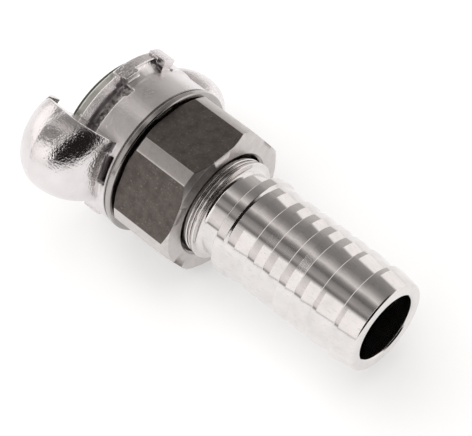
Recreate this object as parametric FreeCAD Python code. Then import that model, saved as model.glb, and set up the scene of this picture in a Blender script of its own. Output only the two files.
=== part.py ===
"""Claw hose coupling: a cast claw head, a hexagon union nut and a barbed hose tail.

Units are millimetres.  The coupling axis is X, from the sealing face at the origin
towards the hose at +X, and +Z is up when the coupling lies on a bench.  Angles round
the axis are in degrees, from +Y towards +Z.
"""
import FreeCAD, Part

import os
from math import cos, radians, sin, sqrt

from FreeCAD import Vector

# Driving dimensions.
BORE_R = 9.5                # water and air way through every piece
HALF_TURN = 180.0           # the head is the same after half a turn about X
SLIP = 0.35                 # radial gap between plain faces that turn in each other

# Claw head: stations along X.
FACE_X = 0.0
LEDGE_X = 2.9               # front of the bayonet ledge
LEDGE_BACK_X = 5.6          # back of the bayonet ledge, where a mating claw hooks
BODY_X = 8.3                # the cast body starts behind the hook groove
RIM_GROOVE_X = 17.4
RIM_X = 18.0                # front of the turned rim
HEAD_BACK_X = 19.5
SPIGOT_END_X = 28.0

# Claw head: radii.
BOSS_R = 20.0
BODY_R = 21.0
LEDGE_LOW_R = 22.0
LEDGE_HIGH_R = 23.1
HOOK_GROOVE_R = 19.7
RIM_R = 21.2
SPIGOT_R = 16.6             # G1 thread, outside radius
SPIGOT_ROOT_R = 15.3

# Claws: each is a lobe, round when seen along X, about a centre beside the axis.
CLAW_OPEN = 130.0           # angle of the claw's open mouth
CLAW_END = 182.4            # the lobe has come down to the body here
LOBE_ANGLE = 153.2
LOBE_CENTRE_R = 23.7
LOBE_R = 11.85
LOBE_SECTIONS = 9
CLAW_CORE_R = 19.0          # the claw is rooted in the body down to this radius
CLAW_TOP_X = (1.7, 4.3)     # station of the round's top, at the mouth and at the closed end
CLAW_TIP_X = -7.6
CLAW_TIP_SETBACK = 3.0      # the hook's front draws back this far at the closed end
CLAW_TIP_R = 21.4
CLAW_ROOT_X = 15.3
CLAW_ROOT_R = 20.8
BULGE_X, BULGE_R = 0.7, 0.71    # the halfway point of a quarter round, as shares of its two legs
HOOK_FACE_X = -5.7          # inner face of the hook, behind a mating ledge
HOOK_LIP_R = 20.6
POCKET_BACK_X = 1.6
POCKET_R = 26.6
POCKET_END = 160.0          # the pocket closes in a half round from here
POCKET_CORE_R = 22.6        # centre of that half round

# Bayonet ledge between the claws: angles round X.
LEDGE_FROM = 50.5
STOP_TO = 61.0              # a stop lug fills the ledge's end
STEP_AT = 94.0              # the ledge steps up here
WIDE_FROM = 81.0            # and is wider from here to the step
LEDGE_TO = 134.0
LEDGE_HIGH_X = 2.0
LEDGE_HIGH_BACK_X = 4.9
LEDGE_WIDE_BACK_X = 6.4
LEDGE_FILLET_X, LEDGE_FILLET_R = 6.0, 21.4   # halfway round the fillet behind the ledge
LEDGE_BACK_R = 22.4         # the fillet ends here on the ledge's back
LEDGE_FOOT_X = 8.4
STOP_R = 23.9
SHOULDER_R = 21.4           # the plain shoulder between the stop lug and the next claw
STOP_BACK_X = 7.6
NOTCH_FROM, NOTCH_TO = 92.5, 99.5
NOTCH_X0, NOTCH_X1 = 4.8, 9.0
NOTCH_R = 19.6

# Face seal.
SEAL_OUTER_R = 19.1
SEAL_INNER_R = 11.6
SEAL_DEPTH = 4.0
SEAL_PROUD = 1.15
SEAL_LIP = 1.2              # half the width of its raised rim

# Union nut.
NUT_FLATS = 38.6
NUT_CORNER_R = 21.2
NUT_FRONT_X = 20.1
NUT_BACK_X = 39.3
NUT_THREAD_R = SPIGOT_R + SLIP
NUT_THREAD_END_X = 34.6
NUT_HOLE_R = 14.8
NUT_HOLE_CHAMFER = 0.6
NUT_FRONT_CHAMFER = 1.2
NUT_BACK_CHAMFER = 1.2
NUT_CORNER_DROP = 1.5         # how far both chamfers run in from the corners

# Retaining ring and gasket.
GASKET_THICK = 2.0
GASKET_INNER_R = 10.2
GASKET_OUTER_R = 15.6
RING_WIDTH = 1.8
RING_INNER_R = 13.3
RING_OUTER_R = 16.0
RING_GAP_DEG = 16.0
AXIAL_PLAY = 0.05

# Hose tail: stations and radii of the turned profile.
TAIL_FRONT_X = SPIGOT_END_X + GASKET_THICK
FLANGE_R = 14.1
FLANGE_END_X = 39.9
COLLAR_R = 14.4
COLLAR_X = 41.55
COLLAR_END_X = 42.5
LAND_X0, LAND_X1 = 40.45, 41.2
COLLAR_GROOVE_R = 13.2
NECK_R = 12.0
NECK_FILLET = 1.4
NECK_END_X = 48.85
BAND_R = 14.3
BAND_END_X = 51.6
TAIL_STEP_X = 52.2
BARB_EDGES = (58.8, 64.0, 69.4, 74.5, 80.5, 87.6)
BARB_R = 13.65
BARB_FOOT_R = 12.85
BARB_LAND = 2.5             # the parallel part behind each edge
END_BARB_LAND = 1.5         # and on the last two, longer barbs
END_BARBS_X = 80.0
TAIL_END_X = 94.9
NOSE_R = 12.9
BORE_CHAMFER = 0.4
NOSE_ROUND = 0.8


def line(start, end):
    """A straight edge in the plane of X and radius."""
    return Part.makeLine(Vector(start[0], start[1], 0), Vector(end[0], end[1], 0))


def arc(start, middle, end):
    """A round edge through three points in the plane of X and radius."""
    points = [Vector(x, r, 0) for x, r in (start, middle, end)]
    return Part.Arc(*points).toShape()


def outline(points):
    """A closed face from points; a point with four numbers is a via point and an end."""
    edges = []
    here = points[0]
    for point in points[1:] + points[:1]:
        end = point[-2:]
        if len(point) == 4:
            edges.append(arc(here[-2:], point[:2], end))
        else:
            edges.append(line(here[-2:], end))
        here = point
    return Part.Face(Part.Wire(edges))


def turned(points, start=0.0, sweep=360.0):
    """The outline swept round X, from the angle start."""
    face = outline(points)
    face.rotate(Vector(0, 0, 0), Vector(1, 0, 0), start)
    return face.revolve(Vector(0, 0, 0), Vector(1, 0, 0), sweep)


def ring(x0, x1, r0, r1, start=0.0, sweep=360.0):
    """A ring, or a sector of one, between two stations and two radii."""
    return turned([(x0, r0), (x1, r0), (x1, r1), (x0, r1)], start, sweep)


def half_turned(shape):
    """The same shape after half a turn about X."""
    copy = shape.copy()
    copy.rotate(Vector(0, 0, 0), Vector(1, 0, 0), HALF_TURN)
    return copy


def lobe_radius(angle):
    """Distance from the axis to the round outside of the claw, at an angle round X."""
    turn = radians(angle - LOBE_ANGLE)
    half_chord = sqrt(max(LOBE_R ** 2 - (LOBE_CENTRE_R * sin(turn)) ** 2, 0))
    return LOBE_CENTRE_R * cos(turn) + half_chord


def claw_section(angle):
    """The claw's lengthwise section, from its tip over its round back to its root."""
    share = (angle - CLAW_OPEN) / (CLAW_END - CLAW_OPEN)
    top_x = CLAW_TOP_X[0] + share * (CLAW_TOP_X[1] - CLAW_TOP_X[0])
    tip_x = CLAW_TIP_X + CLAW_TIP_SETBACK * share ** 3
    top = lobe_radius(angle)
    tip_r = min(CLAW_TIP_R, top - 0.2)
    back_bulge = (top_x + BULGE_X * (CLAW_ROOT_X - top_x),
                  CLAW_ROOT_R + BULGE_R * (top - CLAW_ROOT_R))
    front_bulge = (top_x + BULGE_X * (tip_x - top_x), tip_r + BULGE_R * (top - tip_r))
    face = outline([(tip_x, CLAW_CORE_R), (CLAW_ROOT_X, CLAW_CORE_R),
                    (CLAW_ROOT_X, CLAW_ROOT_R), back_bulge + (top_x, top),
                    front_bulge + (tip_x, tip_r)])
    face.rotate(Vector(0, 0, 0), Vector(1, 0, 0), angle)
    return face.OuterWire


def claw():
    """One hollow claw, open at its mouth, with a pocket that closes in a round end."""
    step = (CLAW_END - CLAW_OPEN) / (LOBE_SECTIONS - 1)
    sections = [claw_section(CLAW_OPEN + step * i) for i in range(LOBE_SECTIONS)]
    solid = Part.makeLoft(sections, True)
    pocket = ring(HOOK_FACE_X, POCKET_BACK_X, CLAW_CORE_R, POCKET_R,
                  CLAW_OPEN - 1, POCKET_END - CLAW_OPEN + 1)
    end = radians(POCKET_END)
    pocket_end = Part.makeCylinder(
        POCKET_R - POCKET_CORE_R, POCKET_BACK_X - HOOK_FACE_X,
        Vector(HOOK_FACE_X, POCKET_CORE_R * cos(end), POCKET_CORE_R * sin(end)),
        Vector(1, 0, 0))
    front = ring(CLAW_TIP_X - 1, FACE_X, 0, HOOK_LIP_R)
    return solid.cut([pocket, pocket_end, front])


def ledge():
    """One bayonet ledge: a low entry, a high part with a filleted back, and a stop lug."""
    foot = HOOK_GROOVE_R - 2
    low = ring(LEDGE_X, LEDGE_BACK_X, foot, LEDGE_LOW_R, STEP_AT, LEDGE_TO - STEP_AT)
    high = turned([(LEDGE_HIGH_X, foot), (LEDGE_FOOT_X, foot), (LEDGE_FOOT_X, BODY_R),
                   (LEDGE_FILLET_X, LEDGE_FILLET_R, LEDGE_HIGH_BACK_X, LEDGE_BACK_R),
                   (LEDGE_HIGH_BACK_X, LEDGE_HIGH_R),
                   (LEDGE_HIGH_X, LEDGE_HIGH_R)], LEDGE_FROM, STEP_AT - LEDGE_FROM)
    wide = ring(LEDGE_HIGH_X, LEDGE_WIDE_BACK_X, foot, LEDGE_HIGH_R, WIDE_FROM, STEP_AT - WIDE_FROM)
    stop = ring(LEDGE_HIGH_X, STOP_BACK_X, foot, STOP_R, LEDGE_FROM, STOP_TO - LEDGE_FROM)
    shoulder = ring(LEDGE_HIGH_X, BODY_X, foot, SHOULDER_R, 0, LEDGE_FROM)
    return low.fuse([high, wide, stop, shoulder])


def claw_head():
    """The cast head: turned body with its spigot, two ledges, two claws and a seal recess."""
    edge = 0.3
    body = turned([
        (FACE_X, BORE_R), (SPIGOT_END_X, BORE_R), (SPIGOT_END_X, SPIGOT_R - 1),
        (SPIGOT_END_X - 1, SPIGOT_R), (HEAD_BACK_X + 2, SPIGOT_R),
        (HEAD_BACK_X + 1, SPIGOT_ROOT_R), (HEAD_BACK_X, SPIGOT_ROOT_R),
        (HEAD_BACK_X, RIM_R - edge), (HEAD_BACK_X - edge, RIM_R), (RIM_X, RIM_R),
        (RIM_X, BODY_R - 0.5), (RIM_GROOVE_X, BODY_R - 0.5), (RIM_GROOVE_X, BODY_R),
        (BODY_X, BODY_R), (BODY_X, HOOK_GROOVE_R), (LEDGE_X, HOOK_GROOVE_R),
        (LEDGE_X, BOSS_R), (FACE_X, BOSS_R)])
    one_ledge = ledge()
    one_claw = claw()
    solid = body.fuse([one_ledge, half_turned(one_ledge), one_claw, half_turned(one_claw)])
    notch = ring(NOTCH_X0, NOTCH_X1, NOTCH_R, STOP_R, NOTCH_FROM, NOTCH_TO - NOTCH_FROM)
    recess = ring(FACE_X - 1, SEAL_DEPTH, SEAL_INNER_R, SEAL_OUTER_R)
    return solid.cut([notch, half_turned(notch), recess]).removeSplitter()


def face_seal():
    """The rubber ring in the face, standing a little proud of it."""
    return turned([
        (SEAL_DEPTH, SEAL_INNER_R), (SEAL_DEPTH, SEAL_OUTER_R), (-SEAL_PROUD, SEAL_OUTER_R),
        (-SEAL_PROUD, SEAL_OUTER_R - 2 * SEAL_LIP), (0, SEAL_OUTER_R - 3 * SEAL_LIP), (0, SEAL_INNER_R)])


def union_nut():
    """The hexagon nut, chamfered at both ends by turning, with its corners turned off."""
    end_r = NUT_CORNER_R - NUT_CORNER_DROP
    blank = turned([
        (NUT_FRONT_X, NUT_THREAD_R + 1), (NUT_FRONT_X + 1, NUT_THREAD_R),
        (NUT_THREAD_END_X, NUT_THREAD_R), (NUT_THREAD_END_X, NUT_HOLE_R),
        (NUT_BACK_X - NUT_HOLE_CHAMFER, NUT_HOLE_R), (NUT_BACK_X, NUT_HOLE_R + NUT_HOLE_CHAMFER),
        (NUT_BACK_X, end_r), (NUT_BACK_X - NUT_BACK_CHAMFER, NUT_CORNER_R),
        (NUT_FRONT_X + NUT_FRONT_CHAMFER, NUT_CORNER_R), (NUT_FRONT_X, end_r)])
    corner = NUT_FLATS / 2 / cos(radians(30))
    points = [Vector(0, corner * cos(radians(60 * i)), corner * sin(radians(60 * i)))
              for i in range(7)]
    bar = Part.Face(Part.makePolygon(points)).extrude(Vector(TAIL_END_X, 0, 0))
    return blank.common(bar)


def retaining_ring():
    """The split ring in the tail's groove that the nut's shoulder pushes on."""
    x0 = NUT_THREAD_END_X - RING_WIDTH
    return ring(x0, NUT_THREAD_END_X - AXIAL_PLAY, RING_INNER_R, RING_OUTER_R,
                RING_GAP_DEG / 2, 360 - RING_GAP_DEG)


def seat_gasket():
    """The flat gasket between the spigot and the tail."""
    return ring(SPIGOT_END_X, TAIL_FRONT_X - AXIAL_PLAY, GASKET_INNER_R, GASKET_OUTER_R)


def barb_points():
    """The outside of the barbs, from the hose end back to the step."""
    points = []
    ends = BARB_EDGES[1:] + (None,)
    for edge, after in reversed(list(zip(BARB_EDGES, ends))):
        if after:
            points.append((after, BARB_FOOT_R))
        land = BARB_LAND if edge < END_BARBS_X else END_BARB_LAND
        points += [(edge + land, BARB_R), (edge, BARB_R)]
    return points


def hose_tail():
    """The turned tail: front flange with a ring groove, collar, neck, band and barbs."""
    groove_x0 = NUT_THREAD_END_X - RING_WIDTH - AXIAL_PLAY
    groove_x1 = NUT_THREAD_END_X
    groove_r = RING_INNER_R - AXIAL_PLAY
    edge = 0.2
    nose_x = TAIL_END_X - NOSE_ROUND
    round_off = NOSE_ROUND * (1 - cos(radians(45)))
    neck_x = COLLAR_END_X + NECK_FILLET
    fillet = NECK_FILLET * (1 - cos(radians(45)))
    points = [
        (TAIL_FRONT_X, BORE_R), (TAIL_END_X - BORE_CHAMFER, BORE_R), (TAIL_END_X, BORE_R + BORE_CHAMFER),
        (TAIL_END_X, NOSE_R - NOSE_ROUND),
        (TAIL_END_X - round_off, NOSE_R - round_off, nose_x, NOSE_R)]
    points += barb_points()
    points += [
        (BARB_EDGES[0], BARB_FOOT_R), (TAIL_STEP_X + BARB_LAND, BARB_R), (TAIL_STEP_X, BARB_R),
        (BAND_END_X, BAND_R), (NECK_END_X, BAND_R), (NECK_END_X, NECK_R), (neck_x, NECK_R),
        (COLLAR_END_X + fillet, NECK_R + fillet, COLLAR_END_X, NECK_R + NECK_FILLET),
        (COLLAR_END_X, COLLAR_R - edge), (COLLAR_END_X - edge, COLLAR_R), (COLLAR_X, COLLAR_R),
        (COLLAR_X, COLLAR_GROOVE_R), (LAND_X1, COLLAR_GROOVE_R), (LAND_X1, FLANGE_R),
        (LAND_X0, FLANGE_R), (LAND_X0, COLLAR_GROOVE_R),
        (FLANGE_END_X + edge, COLLAR_GROOVE_R), (FLANGE_END_X + edge, FLANGE_R - edge),
        (FLANGE_END_X, FLANGE_R), (groove_x1, FLANGE_R), (groove_x1, groove_r),
        (groove_x0, groove_r), (groove_x0, FLANGE_R), (TAIL_FRONT_X, FLANGE_R)]
    return turned(points)


PIECES = (claw_head, face_seal, union_nut, retaining_ring, seat_gasket, hose_tail)

os.makedirs("parts", exist_ok=True)
for piece in PIECES:
    shape = piece()
    solids = shape.Solids
    print(piece.__name__, len(solids), shape.isValid(), round(shape.Volume, 1))
    solids[0].exportStep("parts/" + piece.__name__ + ".step")
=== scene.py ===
"""The looks of the claw hose coupling, built round its CAD frame.

Lengths are in metres in the CAD frame: the coupling's axis is X, from the sealing face at the
origin towards the hose, and +Z is up.  Angles round the axis go from +Y over +Z.  The turned
pieces are turned again from the outlines of their CAD nodes, with broken edges, the casting is a
softened copy of its node, and every finish is a procedural material.
"""

import math

import bmesh
import bpy
from mathutils import Matrix, Vector


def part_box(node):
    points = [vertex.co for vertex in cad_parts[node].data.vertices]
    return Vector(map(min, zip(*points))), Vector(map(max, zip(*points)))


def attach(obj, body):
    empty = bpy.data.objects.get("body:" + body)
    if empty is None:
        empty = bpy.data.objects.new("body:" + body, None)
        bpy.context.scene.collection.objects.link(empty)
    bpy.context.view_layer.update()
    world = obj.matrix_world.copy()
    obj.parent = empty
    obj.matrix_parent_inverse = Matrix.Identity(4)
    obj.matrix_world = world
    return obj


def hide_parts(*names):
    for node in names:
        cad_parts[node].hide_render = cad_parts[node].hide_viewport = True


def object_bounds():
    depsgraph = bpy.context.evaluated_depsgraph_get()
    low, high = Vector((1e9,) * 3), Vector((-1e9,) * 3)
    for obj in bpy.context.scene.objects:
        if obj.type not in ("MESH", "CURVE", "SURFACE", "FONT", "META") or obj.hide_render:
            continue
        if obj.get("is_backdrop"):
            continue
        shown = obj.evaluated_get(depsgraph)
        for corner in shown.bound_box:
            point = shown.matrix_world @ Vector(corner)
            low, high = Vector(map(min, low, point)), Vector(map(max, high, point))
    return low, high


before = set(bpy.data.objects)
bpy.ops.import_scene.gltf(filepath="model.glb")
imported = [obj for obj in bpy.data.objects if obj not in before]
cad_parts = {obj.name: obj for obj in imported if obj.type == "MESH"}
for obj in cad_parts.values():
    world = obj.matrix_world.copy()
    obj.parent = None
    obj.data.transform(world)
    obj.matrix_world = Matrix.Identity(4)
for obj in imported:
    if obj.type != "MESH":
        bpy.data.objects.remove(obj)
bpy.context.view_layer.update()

MM = 0.001
NEAR = 0.01 * MM            # points closer than this have the same place along or across X

# Outlines read from the CAD nodes.
IN_PLANE = 1e-6             # an edge this close to z = 0 is in the outline's plane
SAME_DIGITS = 5             # ends that agree to this many decimals are one point
SHORTEST = 1e-7             # a side shorter than this isn't a side

# Turned pieces.
SEGMENTS = 264              # round the axis
NUT_SEGMENTS = 480
BROKEN_EDGE = 0.14 * MM     # radius of a broken edge
NUT_EDGE = 0.10 * MM
TAIL_EDGE = 0.26 * MM
ARC_STEPS = 4               # straight pieces in one broken edge
EDGE_SHARE = 0.4            # the most of a side that one broken edge takes
SUPPORT = 0.05 * MM         # distance of the extra ring that keeps a face flat beside an edge
SUPPORT_ROOM = 6 * SUPPORT  # a side shorter than this has no such ring
STRAIGHT = math.radians(3)  # an outline that turns less than this goes straight on,
ARC_TURN = math.radians(14)     # and one that turns less than this at a short side is an arc
ARC_SIDE = 0.6 * MM

# Union thread, G1.
PITCH = 2.309 * MM
THREAD_DEPTH = 1.1 * MM
THREAD_STEP = PITCH / 14    # distance between the rings of a threaded run
THREAD_ROOT, THREAD_FLANK = 0.12, 0.76      # shares of half a pitch
MALE_REACH = 1.2 * MM       # points this near the crest belong to the male thread
CREST_NEAR = 0.05 * MM
SPIGOT_ZONE = 3 * MM        # the crest is looked for this near the spigot's end
FEMALE_REACH = 0.3 * MM     # points this near the bore belong to the female thread

# Nut.
NUT_BORE_WALL = 1.6 * MM    # further out than this from the bore is the nut's outside
NUT_BACK_WALL = 3 * MM      # the wall at the back, which has no thread
HALF_SIDE = math.radians(30)    # half of one side of the hexagon

# Casting.
VOXEL = 0.19 * MM
SOFTEN_FACTOR, SOFTEN_STEPS = 0.5, 3
RIM_GROOVE_X = 17.4 * MM    # the casting ends here and the turned rim starts
CAST_OVERLAP = 0.4 * MM

# Hollow between a claw's root and the rim; the claws are half a turn apart.
HALF_TURN = 180.0
RECESS_FROM, RECESS_TO = 15.5 * MM, 16.6 * MM
RECESS_EDGE = 0.35 * MM
RECESS_FLOOR = 18.9 * MM
RECESS_START, RECESS_END = 139, 164     # degrees
RECESS_FADE = 3

MIX_INPUTS, MIX_OUTPUT = (0, 6, 7), 2   # the sockets that a Mix node uses for colours

# In the finishes below, MOTTLE, GRAIN, MARKS and the like are the scales of noises, per metre.
# TONES are the stops of a ramp, each a place and a colour or grey level, ROUGH is the range of
# the roughness, and RELIEF is the depth of the bump.  GROOVE_X, HOLLOW_X and LUG_ANGLES are the
# limits of a patch of painted shade, and any other pair of places is where a change starts and
# is complete.

# Cast finish.
# The last of these is the size of the patches in the painted shade of the hook groove.
CAST_MOTTLE, CAST_GRAIN, CAST_PITS, SHADE_PATCHES = 160.0, 1600.0, 700.0, 900.0
CAST_TONES = (0.3, (0.73, 0.70, 0.70)), (0.7, (0.82, 0.79, 0.79))
# grey levels of the patches in the painted shade of the hook groove
SHADE_PATCH_TONES = (0.42, 0.10), (0.60, 0.80)
RUBBED_TONE = (0.90, 0.88, 0.87)        # proud edges
# painted shade: darker where the surface is hollow, in creases and concave corners
CREVICE_SHADE_TONE = (0.16, 0.14, 0.135)
NOSE_REFLECTION_TONE = (0.60, 0.605, 0.56)         # machined front of the casting beside the seal, tinted with a painted greenish reflection of the seal
PAINTED_SHADE_TONE = (0.10, 0.088, 0.085)       # painted shade in the hook groove, the hollows at the claws and at the foot of the lugs
RUBBED_BEND, CREVICE_SHADE_BEND = (0.52, 0.60), (0.485, 0.42)     # of the surface's pointiness
NOSE_X, NOSE_R = (2.45 * MM, 2.2 * MM), (20.5 * MM, 20.2 * MM)
POLISHED_R = 21.6 * MM, 23.0 * MM
GROOVE_X, GROOVE_R = (5.6 * MM, 8.3 * MM), (20.6 * MM, 20.1 * MM)
HOLLOW_X, HOLLOW_R = (15.3 * MM, 16.8 * MM), (20.5 * MM, 19.8 * MM)
# distance along x over which the painted shade of the groove and the hollows fades in
SHADE_EDGE = 0.3 * MM
LUG_ANGLES, LUG_ANGLE_EDGE = (57.0, 65.0), 1.0
LUG_X, LUG_R = (9.0 * MM, 8.5 * MM), (22.4 * MM, 21.8 * MM)
LUG_FACING = 0.55, 0.8                  # how far a lug's wall faces round the axis
CAST_ROUGH, RUBBED_LESS, POLISHED_LESS = (0.24, 0.33), 0.06, 0.12
GRAIN_SHARE, PITS_SHARE = 0.6, 0.4
CAST_RELIEF, BODY_SHARE = 0.17 * MM, 0.45   # and the share that the unpolished body shows

# Turned finishes.
RIM_STEEL = {"colour": (0.45, 0.43, 0.42), "rough": 0.18, "relief": 0.006 * MM}
TAIL_STEEL = {"colour": (0.78, 0.755, 0.745), "rough": 0.11, "relief": 0.002 * MM}
RING_STEEL = {"colour": (0.6, 0.6, 0.6), "rough": 0.25, "relief": 0.004 * MM}
TURNED_MARKS, TURNED_STAINS, TURNED_SCUFFS = 5200.0, 240.0, 2600.0
MARKS_DETAIL, MARKS_ROUGHNESS = 3.0, 0.7
TURNED_ROUGH = 0.75, 1.5                # times the finish's own
STAINED, STAIN_STOPS = 0.90, (0.3, 0.65)    # a stain's share of the colour, and its edge
SCUFF_TONE, SCUFF_SHARE, SCUFF_EDGE = (0.45, 0.42, 0.41), 0.22, (0.60, 0.72)
SCUFF_TURN, SCUFF_STRETCH = (0.4, 0.9, 0.3), (0.18, 1.0, 1.0)

# Nut finish.
NUT_MOTTLE, NUT_SPECKS, NUT_MARKS = 420.0, 1700.0, 4200.0
FLAT_TONES = (0.3, (0.105, 0.091, 0.083)), (0.72, (0.175, 0.154, 0.14))
CORNER_TONES = (0.3, (0.56, 0.53, 0.515)), (0.7, (0.66, 0.63, 0.615))
SPECK_TONE, SPECK_EDGE = (0.30, 0.27, 0.25), (0.56, 0.74)
NUT_ROUGH, FLAT_MORE = (0.24, 0.34), 0.22
FLAT_FROM, FLAT_TO = 0.045 * MM, 0.012 * MM     # below the plane of the flats
NUT_RELIEF = 0.006 * MM

# Rubber finishes.
SEAL_TONE = (0.045, 0.045, 0.032)
GASKET_TONE = (0.02, 0.02, 0.02)
RUBBER_BLOOM, RUBBER_GRAIN = 500.0, 3000.0
BLOOM_GAIN, BLOOM_STOPS = 1.7, (0.3, 0.75)  # how many times lighter the bloom is, and where
RUBBER_ROUGH, RUBBER_SPECULAR = (0.55, 0.75), 0.3
RUBBER_RELIEF = 0.01 * MM

# Floor and lamp.
FLOOR_REACH = 3.0
FLOOR_TONE, FLOOR_ROUGH, FLOOR_SPECULAR = (0.52, 0.52, 0.52, 1), 0.9, 0.1
FLOOR_GLOW, FLOOR_GLOW_STRENGTH = (1.0, 0.99, 0.985, 1), 0.50
LAMP_POWER = 11.2
LAMP_SIZE = 1.2
LAMP_PLACE = (-0.15, -0.25, 1.1)

# The studio's bands: an angle round X, from +Y over +Z to -Y in degrees, and its grey level.
BANDS = (
    (0, 0.60), (14, 0.58), (32, 0.46), (41, 0.33), (55, 0.25), (66, 0.24), (75, 0.36),
    (83, 0.60), (89, 0.80), (94, 0.45), (99, 0.24), (106, 0.16), (112, 0.32), (121, 0.42),
    (125, 0.28), (129, 0.15), (133, 0.50), (138, 0.74), (150, 0.84), (162, 0.95), (174, 0.85),
    (176.5, 0.35), (180, 0.30))
WARM = (1.0, 0.955, 0.93)

# Softboxes and a dark gap in front of the bands: where each starts and is complete along the
# x of the direction, the angles that it spans, and its colour.
FRONT_BOXES_X, FRONT_BOXES_TONE = (-0.36, -0.27), (1.12, 1.085, 1.07)
FRONT_BOX_ANGLES = (-14, 38), (132, 182)
TOP_BOX_X, TOP_BOX_ANGLES, TOP_BOX_TONE = (0.215, 0.24), (80, 176), (2.0, 1.95, 1.92)
END_BOX_X, END_BOX_ANGLES, END_BOX_TONE = (-0.56, -0.70), (24, 178), (1.25, 1.21, 1.19)
GAP_X, GAP_ANGLES, GAP_TONE = (0.145, 0.19), (46, 179), (0.015, 0.013, 0.012)
GAP_SHIFT, GAP_SHIFT_ANGLES = 0.13, (70, 98)    # the gap starts later at the larger angles
BOX_EDGE, GAP_EDGE = 6.0, 9.0                   # degrees
BACKDROP_TONE = (0.93, 0.93, 0.93)

# Camera.
CAMERA_PLACE = Vector((260.5, -225.6, 401.5)) * MM
CAMERA_RIGHT = Vector((0.7210, 0.6930, 0.0006))
CAMERA_DOWN = Vector((0.5477, -0.5696, -0.6131))
SENSOR = 36.0
LENS = 152.5
CLIP_END = 20.0


# ---- outlines and turning ---------------------------------------------------------------

def seam(node, first_x=-math.inf):
    """The outline of a turned node: its edges in the half plane y > 0, z = 0, in order."""
    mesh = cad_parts[node].data
    links = {}
    for edge in mesh.edges:
        ends = [mesh.vertices[i].co for i in edge.vertices]
        if any(abs(p.z) > IN_PLANE or p.y < 0 or p.x < first_x for p in ends):
            continue
        one, two = [(round(p.x, SAME_DIGITS), round(p.y, SAME_DIGITS)) for p in ends]
        if one != two:
            links.setdefault(one, set()).add(two)
            links.setdefault(two, set()).add(one)
    here = min([p for p in links if len(links[p]) == 1] or links)
    outline = [here]
    while links[here]:
        after = links[here].pop()
        links[after].discard(here)
        outline.append(after)
        here = after
    if outline[0] == outline[-1]:
        outline.pop()
    return [Vector(p) for p in outline]


def broken(outline, radius):
    """The outline with its sharp corners rounded, and support points beside each rounding."""
    count = len(outline)
    points = []
    for i, corner in enumerate(outline):
        into = outline[i - 1] - corner
        out = outline[(i + 1) % count] - corner
        shorter = min(into.length, out.length)
        if shorter < SHORTEST:
            continue
        turn = math.pi - into.angle(out)
        if turn < STRAIGHT or (turn < ARC_TURN and shorter < ARC_SIDE):
            points.append(corner)
            continue
        cut = min(radius * math.tan(turn / 2), EDGE_SHARE * shorter)
        start, end = corner + into.normalized() * cut, corner + out.normalized() * cut
        if into.length > SUPPORT_ROOM:
            points.append(start + into.normalized() * SUPPORT)
        for k in range(ARC_STEPS + 1):
            t = k / ARC_STEPS
            points.append(start * (1 - t) ** 2 + corner * 2 * t * (1 - t) + end * t ** 2)
        if out.length > SUPPORT_ROOM:
            points.append(end + out.normalized() * SUPPORT)
    return points


def divided(outline, wanted):
    """The outline with the runs between two wanted points divided finely."""
    fine = []
    for i, here in enumerate(outline):
        after = outline[(i + 1) % len(outline)]
        both = wanted(here) and wanted(after)
        pieces = max(1, math.ceil((after - here).length / THREAD_STEP)) if both else 1
        fine += [here.lerp(after, k / pieces) for k in range(pieces)]
    return fine


def turned(name, outline, segments=SEGMENTS, radius_at=None):
    """A piece turned round X from a closed outline; radius_at may reshape each point."""
    verts, faces = [], []
    count = len(outline)
    for s in range(segments):
        angle = math.tau * s / segments
        for x, r in outline:
            radius = radius_at(x, r, angle) if radius_at else r
            verts.append((x, radius * math.cos(angle), radius * math.sin(angle)))
    for s in range(segments):
        here, there = s * count, (s + 1) % segments * count
        for i in range(count):
            j = (i + 1) % count
            faces.append((here + i, there + i, there + j, here + j))
    mesh = bpy.data.meshes.new(name)
    mesh.from_pydata(verts, [], faces)
    return finished(name, mesh)


def finished(name, mesh):
    """An object for the mesh, shaded smooth, with its faces turned outwards."""
    work = bmesh.new()
    work.from_mesh(mesh)
    bmesh.ops.recalc_face_normals(work, faces=work.faces)
    work.to_mesh(mesh)
    work.free()
    mesh.polygons.foreach_set("use_smooth", [True] * len(mesh.polygons))
    piece = bpy.data.objects.new(name, mesh)
    bpy.context.scene.collection.objects.link(piece)
    return piece


def thread_wave(x, angle):
    """0 at the root and 1 at the crest of the union thread's male ridge."""
    phase = (x / PITCH - angle / math.tau) % 1.0
    ridge = 1 - abs(2 * phase - 1)
    return min(1.0, max(0.0, (ridge - THREAD_ROOT) / THREAD_FLANK))


def smooth_step(value):
    """0 below 0, 1 above 1, and a smooth change between."""
    value = min(1.0, max(0.0, value))
    return value * value * (3 - 2 * value)


# ---- materials --------------------------------------------------------------------------

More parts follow.
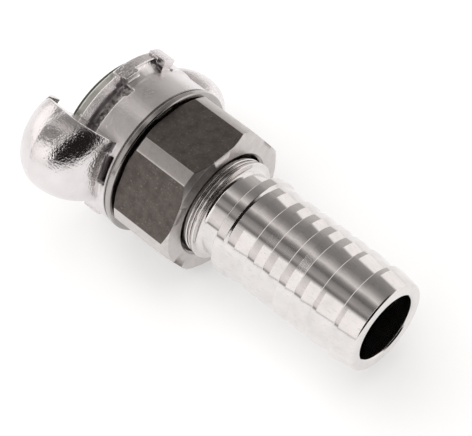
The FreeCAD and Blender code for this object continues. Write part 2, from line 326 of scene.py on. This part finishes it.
class Graph:
    """A node tree with short ways to add nodes."""

    def __init__(self, tree):
        self.tree = tree
        tree.nodes.clear()

    def add(self, kind, inputs=None, **settings):
        """A new node; an input is a value or the socket that feeds it."""
        node = self.tree.nodes.new(kind)
        for key, value in settings.items():
            setattr(node, key, value)
        for key, value in (inputs or {}).items():
            if isinstance(value, bpy.types.NodeSocket):
                self.tree.links.new(value, node.inputs[key])
            else:
                node.inputs[key].default_value = value
        return node

    def math(self, operation, *values):
        return self.add("ShaderNodeMath", dict(enumerate(values)), operation=operation).outputs[0]

    def product(self, first, *others):
        for other in others:
            first = self.math("MULTIPLY", first, other)
        return first

    def split(self, vector):
        """The x, y and z of a vector."""
        return self.add("ShaderNodeSeparateXYZ", {0: vector}).outputs

    def ramp(self, factor, stops):
        """A straight colour ramp; each stop is a place and a grey level or a colour."""
        node = self.add("ShaderNodeValToRGB", {"Fac": factor})
        elements = node.color_ramp.elements
        while len(elements) > 1:
            elements.remove(elements[-1])
        for i, (place, tone) in enumerate(stops):
            element = elements[0] if i == 0 else elements.new(place)
            element.position = place
            colour = tone if isinstance(tone, tuple) else (tone,) * 3
            element.color = (*colour, 1)
        return node.outputs["Color"]

    def noise(self, vector, scale, detail=2.0, roughness=0.5):
        return self.add("ShaderNodeTexNoise", {
            "Vector": vector, "Scale": scale, "Detail": detail, "Roughness": roughness}).outputs[0]

    def between(self, factor, low, high):
        """A factor from 0 to 1 as a value from low to high."""
        return self.add("ShaderNodeMapRange", {
            "Value": factor, "To Min": low, "To Max": high}).outputs[0]

    def step(self, value, start, end):
        """Smooth 0 to 1 as value goes from start to end."""
        return self.add("ShaderNodeMapRange", {
            "Value": value, "From Min": start, "From Max": end},
            interpolation_type="SMOOTHSTEP").outputs[0]

    def span(self, value, limits, edge):
        """1 between the two limits and 0 outside them, changing over edge inside each."""
        low, high = limits
        return self.product(self.step(value, low, low + edge), self.step(value, high, high - edge))

    def mix(self, factor, one, two):
        """One at factor 0 and two at factor 1; each is a colour or a socket."""
        inputs = {place: value if isinstance(value, bpy.types.NodeSocket) else (*value, 1)
                  for place, value in zip(MIX_INPUTS, (factor, one, two))}
        return self.add("ShaderNodeMix", inputs, data_type="RGBA").outputs[MIX_OUTPUT]


def place_nodes(graph):
    """Object coordinates, their x, y and z, and the radius from the axis."""
    place = graph.add("ShaderNodeTexCoord").outputs["Object"]
    parts = graph.split(place)
    radius = graph.math("SQRT", graph.math("ADD", graph.product(parts[1], parts[1]),
                                           graph.product(parts[2], parts[2])))
    return place, parts, radius


def turning_marks(graph, parts, radius, scale):
    """Noise that is even round the axis, as a lathe leaves it."""
    rings = graph.add("ShaderNodeCombineXYZ", {0: parts[0], 1: radius}).outputs[0]
    return graph.noise(rings, scale, MARKS_DETAIL, MARKS_ROUGHNESS)


def new_material(name):
    material = bpy.data.materials.new(name)
    material.use_nodes = True
    return material, Graph(material.node_tree)


def finish_shader(graph, inputs, height, relief):
    """The principled shader with a bump from a height, wired to the output."""
    bump = graph.add("ShaderNodeBump", {"Height": height, "Distance": relief, "Strength": 1.0})
    inputs["Normal"] = bump.outputs[0]
    shader = graph.add("ShaderNodeBsdfPrincipled", inputs)
    graph.add("ShaderNodeOutputMaterial", {"Surface": shader.outputs[0]})


def painted_recess_shade(graph, place, parts, radius):
    """Painted shade in the hook groove, in the hollows at the claws and on one side of the foot of
    the lugs.
    """
    patches = graph.ramp(graph.noise(place, SHADE_PATCHES), SHADE_PATCH_TONES)
    groove_shade = graph.product(graph.span(parts[0], GROOVE_X, SHADE_EDGE),
                           graph.step(radius, *GROOVE_R), patches)
    hollow_shade = graph.product(graph.span(parts[0], HOLLOW_X, SHADE_EDGE),
                           graph.step(radius, *HOLLOW_R))
    facing = graph.split(graph.add("ShaderNodeTexCoord").outputs["Normal"])
    facing_round = graph.math("DIVIDE", graph.math(
        "SUBTRACT", graph.product(parts[1], facing[2]), graph.product(parts[2], facing[1])),
        radius)
    degrees = graph.product(graph.math("ARCTAN2", parts[2], parts[1]), 180 / math.pi)
    half_turn = graph.math("FLOORED_MODULO", degrees, HALF_TURN)
    lug_shade = graph.product(graph.step(facing_round, *LUG_FACING),
                         graph.span(half_turn, LUG_ANGLES, LUG_ANGLE_EDGE),
                         graph.step(parts[0], *LUG_X), graph.step(radius, *LUG_R))
    return graph.math("MAXIMUM", groove_shade, graph.math("MAXIMUM", hollow_shade, lug_shade))


def cast_steel():
    """Blasted stainless casting: fine grain, soft mottling, polished claws and rubbed edges,
    with painted shade in creases, the hook groove, the hollows and at the lugs, and a painted
    greenish reflection of the seal on its machined front.
    """
    material, graph = new_material("cast_steel")
    place, parts, radius = place_nodes(graph)
    mottle = graph.noise(place, CAST_MOTTLE, detail=4.0)
    grain = graph.noise(place, CAST_GRAIN, roughness=0.6)
    pits = graph.noise(place, CAST_PITS)
    polish = graph.step(radius, *POLISHED_R)
    bend = graph.add("ShaderNodeNewGeometry").outputs["Pointiness"]
    edge = graph.step(bend, *RUBBED_BEND)
    # painted shade where the surface is hollow
    crevice_shade = graph.step(bend, *CREVICE_SHADE_BEND)
    nose_reflection = graph.product(graph.step(parts[0], *NOSE_X), graph.step(radius, *NOSE_R))
    base = graph.ramp(mottle, CAST_TONES)
    base = graph.mix(edge, base, RUBBED_TONE)
    # painted shade in creases and concave corners
    base = graph.mix(crevice_shade, base, CREVICE_SHADE_TONE)
    # machined front beside the seal, with a painted greenish reflection of the seal
    base = graph.mix(nose_reflection, base, NOSE_REFLECTION_TONE)
    # painted shade in the hook groove, the hollows at the claws and on one side of the foot of the
    # lugs
    base = graph.mix(painted_recess_shade(graph, place, parts, radius), base, PAINTED_SHADE_TONE)
    rough = graph.math("SUBTRACT", graph.between(mottle, *CAST_ROUGH),
                       graph.product(edge, RUBBED_LESS))
    rough = graph.math("SUBTRACT", rough, graph.product(polish, POLISHED_LESS))
    height = graph.math("ADD", graph.product(grain, GRAIN_SHARE), graph.product(pits, PITS_SHARE))
    height = graph.product(height, graph.between(polish, BODY_SHARE, 1.0))
    finish_shader(graph, {"Base Color": base, "Metallic": 1.0, "Roughness": rough},
                  height, CAST_RELIEF)
    return material


def turned_steel(name, colour, rough, relief):
    """Bright turned steel with fine rings round the axis, a few stains and handling scratches."""
    material, graph = new_material(name)
    place, parts, radius = place_nodes(graph)
    marks = turning_marks(graph, parts, radius, TURNED_MARKS)
    stains = graph.noise(place, TURNED_STAINS, detail=3.0)
    slanted = graph.add("ShaderNodeMapping", {
        "Vector": place, "Rotation": SCUFF_TURN, "Scale": SCUFF_STRETCH}).outputs[0]
    scuffs = graph.step(graph.noise(slanted, TURNED_SCUFFS, detail=1.0), *SCUFF_EDGE)
    stained = tuple(c * STAINED for c in colour)
    base = graph.ramp(stains, list(zip(STAIN_STOPS, (stained, colour))))
    base = graph.mix(graph.product(scuffs, SCUFF_SHARE), base, SCUFF_TONE)
    roughness = graph.between(graph.product(marks, stains),
                              *(rough * share for share in TURNED_ROUGH))
    finish_shader(graph, {"Base Color": base, "Metallic": 1.0, "Roughness": roughness},
                  marks, relief)
    return material


def nut_steel(across_flats):
    """Dull dark rolled flats, lighter turned corners and end faces."""
    material, graph = new_material("nut_steel")
    place, parts, radius = place_nodes(graph)
    reach = None
    for k in range(3):
        turn = HALF_SIDE * (1 + 2 * k)
        along = graph.math("ABSOLUTE", graph.math(
            "ADD", graph.product(parts[1], math.cos(turn)),
            graph.product(parts[2], math.sin(turn))))
        reach = along if reach is None else graph.math("MAXIMUM", reach, along)
    flat = graph.step(reach, across_flats / 2 - FLAT_FROM, across_flats / 2 - FLAT_TO)
    mottle = graph.noise(place, NUT_MOTTLE, detail=5.0, roughness=0.65)
    specks = graph.noise(place, NUT_SPECKS, detail=3.0, roughness=0.75)
    marks = turning_marks(graph, parts, radius, NUT_MARKS)
    dark = graph.mix(graph.step(specks, *SPECK_EDGE), graph.ramp(mottle, FLAT_TONES), SPECK_TONE)
    light = graph.ramp(mottle, CORNER_TONES)
    rough = graph.math("ADD", graph.product(flat, FLAT_MORE), graph.between(specks, *NUT_ROUGH))
    finish_shader(graph, {"Base Color": graph.mix(flat, light, dark), "Metallic": 1.0,
                          "Roughness": rough}, graph.mix(flat, marks, specks), NUT_RELIEF)
    return material


def rubber(name, colour):
    """Moulded rubber: matte, with a faint bloom."""
    material, graph = new_material(name)
    place = graph.add("ShaderNodeTexCoord").outputs["Object"]
    bloom = graph.noise(place, RUBBER_BLOOM, detail=4.0)
    lighter = tuple(BLOOM_GAIN * c for c in colour)
    base = graph.ramp(bloom, list(zip(BLOOM_STOPS, (colour, lighter))))
    finish_shader(graph, {"Base Color": base, "Roughness": graph.between(bloom, *RUBBER_ROUGH),
                          "Specular IOR Level": RUBBER_SPECULAR},
                  graph.noise(place, RUBBER_GRAIN), RUBBER_RELIEF)
    return material


# ---- the pieces -------------------------------------------------------------------------

def place_piece(piece, body, node, material):
    """Finish a piece, let it ride on its body and stand for its CAD node, if it has one."""
    piece.data.materials.clear()
    piece.data.materials.append(material)
    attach(piece, body)
    if node:
        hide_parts(node)


def softened_casting():
    """The casting: its CAD node made of small even faces and softened, up to the turned rim."""
    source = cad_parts["claw_head"]
    piece = bpy.data.objects.new("claw_casting", source.data.copy())
    bpy.context.scene.collection.objects.link(piece)
    remesh = piece.modifiers.new("even", "REMESH")
    remesh.mode = "VOXEL"
    remesh.voxel_size = VOXEL
    soften = piece.modifiers.new("soften", "SMOOTH")
    soften.factor = SOFTEN_FACTOR
    soften.iterations = SOFTEN_STEPS
    evaluated = piece.evaluated_get(bpy.context.evaluated_depsgraph_get())
    mesh = bpy.data.meshes.new_from_object(evaluated)
    bpy.data.objects.remove(piece)
    work = bmesh.new()
    work.from_mesh(mesh)
    everything = work.verts[:] + work.edges[:] + work.faces[:]
    bmesh.ops.bisect_plane(work, geom=everything, plane_no=(1, 0, 0), clear_outer=True,
                           plane_co=(RIM_GROOVE_X - CAST_OVERLAP / 2, 0, 0))
    work.to_mesh(mesh)
    work.free()
    root_recess(mesh)
    return finished("claw_casting", mesh)


def root_recess(mesh):
    """A shallow hollow between the back of each claw and the turned rim."""
    for vertex in mesh.vertices:
        x, y, z = vertex.co
        radius = math.hypot(y, z)
        if x < RECESS_FROM - RECESS_EDGE or radius < RECESS_FLOOR:
            continue
        angle = math.degrees(math.atan2(z, y)) % HALF_TURN
        depth = (smooth_step((x - RECESS_FROM) / RECESS_EDGE + 0.5)
                 * smooth_step((RECESS_TO - x) / RECESS_EDGE + 0.5)
                 * smooth_step((angle - RECESS_START) / RECESS_FADE)
                 * smooth_step((RECESS_END - angle) / RECESS_FADE))
        target = radius + (RECESS_FLOOR - radius) * depth
        vertex.co.y, vertex.co.z = y * target / radius, z * target / radius


def turned_rim():
    """The turned rim and the threaded spigot behind it, in one piece with the casting."""
    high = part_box("claw_head")[1]
    outline = seam("claw_head", RIM_GROOVE_X - NEAR)
    if outline[0].x > outline[-1].x:
        outline.reverse()
    body, bore = max(outline[0].y, outline[1].y), outline[-1].y
    outline = [p for p in outline if p.x > RIM_GROOVE_X + NEAR or p.y < body - NEAR]
    hidden = RIM_GROOVE_X - CAST_OVERLAP
    outline = ([Vector((hidden, bore + CAST_OVERLAP)), Vector((hidden, body)),
                Vector((RIM_GROOVE_X, body))] + outline + [Vector((RIM_GROOVE_X, bore))])
    crest = max(p.y for p in outline if p.x > high.x - SPIGOT_ZONE)
    start = min(p.x for p in outline
                if p.y > crest - CREST_NEAR and p.x > RIM_GROOVE_X + SPIGOT_ZONE)
    outline = divided(broken(outline, BROKEN_EDGE), lambda p: abs(p.y - crest) < NEAR)

    def radius_at(x, r, angle):
        if r < crest - MALE_REACH or x < start:
            return r
        fade = smooth_step((x - start) / PITCH) * smooth_step((high.x - x) / (0.5 * PITCH))
        return r - THREAD_DEPTH * fade * (1 - thread_wave(x, angle))

    return turned("turned_rim", outline, SEGMENTS, radius_at)


def union_nut():
    """The nut, which is its turned blank with six flats and the thread, and its size."""
    low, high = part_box("union_nut")
    half_flats = (high.z - low.z) / 2
    outline = seam("union_nut")
    bore = min(p.y for p in outline if p.x < (low.x + high.x) / 2)
    outline = divided(broken(outline, NUT_EDGE),
                      lambda p: abs(p.y - bore) < NEAR or p.y > half_flats)
    thread_end = max(p.x for p in outline
                     if abs(p.y - bore) < 2 * NEAR and p.x < high.x - NUT_BACK_WALL)

    def radius_at(x, r, angle):
        if r > bore + NUT_BORE_WALL:    # the smaller of the blank and the flat, smoothly
            turn = angle % (2 * HALF_SIDE) - HALF_SIDE
            flat = half_flats / math.cos(turn)
            gap = max(NUT_EDGE - abs(r - flat), 0.0) / NUT_EDGE
            return min(r, flat) - gap * gap * NUT_EDGE / 4
        if abs(r - bore) > FEMALE_REACH or x > thread_end:
            return r
        fade = smooth_step((x - low.x) / PITCH) * smooth_step((thread_end - x) / PITCH)
        return r - THREAD_DEPTH * fade * (1 - thread_wave(x, angle))

    return turned("hexagon_nut", outline, NUT_SEGMENTS, radius_at), 2 * half_flats


# ---- stage, light and camera ------------------------------------------------------------

def studio():
    """A pale floor under the coupling and a soft lamp above it."""
    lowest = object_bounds()[0][2]
    mesh = bpy.data.meshes.new("floor")
    mesh.from_pydata([(-FLOOR_REACH, -FLOOR_REACH, lowest), (FLOOR_REACH, -FLOOR_REACH, lowest),
                      (FLOOR_REACH, FLOOR_REACH, lowest), (-FLOOR_REACH, FLOOR_REACH, lowest)],
                     [], [(0, 1, 2, 3)])
    floor = bpy.data.objects.new("floor", mesh)
    bpy.context.scene.collection.objects.link(floor)
    material, graph = new_material("floor")
    shader = graph.add("ShaderNodeBsdfPrincipled", {
        "Base Color": FLOOR_TONE, "Roughness": FLOOR_ROUGH, "Specular IOR Level": FLOOR_SPECULAR,
        "Emission Color": FLOOR_GLOW, "Emission Strength": FLOOR_GLOW_STRENGTH})
    graph.add("ShaderNodeOutputMaterial", {"Surface": shader.outputs[0]})
    mesh.materials.append(material)
    floor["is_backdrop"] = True

    lamp = bpy.data.lights.new("softbox", "AREA")
    lamp.size = LAMP_SIZE
    lamp.energy = LAMP_POWER
    box = bpy.data.objects.new("softbox", lamp)
    box.location = LAMP_PLACE
    box.rotation_euler = (-box.location).to_track_quat("-Z", "Y").to_euler()
    box.visible_glossy = False
    bpy.context.scene.collection.objects.link(box)


def room_light():
    """The world: bands along the coupling, with softboxes and a dark gap in front of them."""
    world = bpy.data.worlds.new("studio")
    bpy.context.scene.world = world
    world.use_nodes = True
    graph = Graph(world.node_tree)
    way = graph.split(graph.add("ShaderNodeTexCoord").outputs["Generated"])
    turn = graph.math("DIVIDE", graph.math("ARCTAN2", way[2], way[1]), math.pi)
    degrees = graph.product(turn, 180.0)
    tone = graph.ramp(turn, [(angle / 180, tuple(level * c for c in WARM))
                             for angle, level in BANDS])

    sides = [graph.span(degrees, angles, BOX_EDGE) for angles in FRONT_BOX_ANGLES]
    front = graph.product(graph.step(way[0], *FRONT_BOXES_X), graph.math("ADD", *sides))
    tone = graph.mix(front, tone, FRONT_BOXES_TONE)
    for x_range, angles, colour in ((TOP_BOX_X, TOP_BOX_ANGLES, TOP_BOX_TONE),
                                    (END_BOX_X, END_BOX_ANGLES, END_BOX_TONE)):
        box = graph.product(graph.step(way[0], *x_range), graph.span(degrees, angles, BOX_EDGE))
        tone = graph.mix(box, tone, colour)
    shift = graph.product(graph.step(degrees, *GAP_SHIFT_ANGLES), GAP_SHIFT)
    gap = graph.product(graph.step(graph.math("SUBTRACT", way[0], shift), *GAP_X),
                        graph.span(degrees, GAP_ANGLES, GAP_EDGE))
    tone = graph.mix(gap, tone, GAP_TONE)

    seen = graph.add("ShaderNodeLightPath").outputs["Is Camera Ray"]
    tone = graph.mix(seen, tone, BACKDROP_TONE)
    light = graph.add("ShaderNodeBackground", {"Color": tone, "Strength": 1.0})
    graph.add("ShaderNodeOutputWorld", {"Surface": light.outputs[0]})


def camera():
    data = bpy.data.cameras.new("camera")
    data.sensor_width = SENSOR
    data.lens = LENS
    data.clip_end = CLIP_END
    right = CAMERA_RIGHT.normalized()
    up = (-CAMERA_DOWN).normalized()
    back = right.cross(up).normalized()
    turn = Matrix((right, back.cross(right), back)).transposed().to_4x4()
    eye = bpy.data.objects.new("camera", data)
    eye.matrix_world = Matrix.Translation(CAMERA_PLACE) @ turn
    bpy.context.scene.collection.objects.link(eye)
    bpy.context.scene.camera = eye


# ---- build ------------------------------------------------------------------------------

place_piece(softened_casting(), "head", "claw_head", cast_steel())
place_piece(turned_rim(), "head", None, turned_steel("rim_steel", **RIM_STEEL))
seal = turned("lip_seal", broken(seam("face_seal"), BROKEN_EDGE))
place_piece(seal, "head", "face_seal", rubber("seal_rubber", SEAL_TONE))
nut, across_flats = union_nut()
place_piece(nut, "nut", "union_nut", nut_steel(across_flats))
tail = turned("barbed_tail", broken(seam("hose_tail"), TAIL_EDGE))
place_piece(tail, "tail", "hose_tail", turned_steel("tail_steel", **TAIL_STEEL))
gasket = turned("flat_gasket", broken(seam("seat_gasket"), BROKEN_EDGE))
place_piece(gasket, "head", "seat_gasket", rubber("gasket_rubber", GASKET_TONE))
ring_material = turned_steel("ring_steel", **RING_STEEL)
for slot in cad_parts["retaining_ring"].material_slots:
    slot.material = ring_material

studio()
room_light()
camera()
bpy.context.scene.view_settings.view_transform = "Standard"
